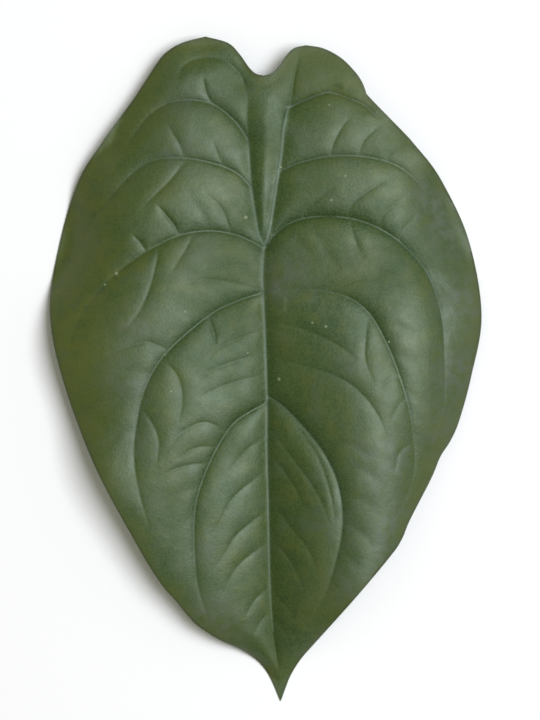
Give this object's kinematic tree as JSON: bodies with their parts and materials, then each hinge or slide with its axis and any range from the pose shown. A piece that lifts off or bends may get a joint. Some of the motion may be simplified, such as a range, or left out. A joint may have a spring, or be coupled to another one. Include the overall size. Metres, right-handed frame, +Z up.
{
  "type": "alocasia leaf",
  "caption": "Heart-shaped quilted leaf blade with sunken veins, raised ribs beneath and a short cut stalk, arched like a shell and lying face up.",
  "frame": {"origin": "on the surface that the leaf lies on, under the middle of its length and width", "axes": "+Y from the tip toward the lobes, +X to the right of the face, +Z up out of the face"},
  "size_m": [0.1724, 0.2658, 0.0218],
  "materials": {
    "leaf": "satin"
  },
  "bodies": {
    "root": {"alocasia_leaf": "leaf"}
  },
  "joints": []
}
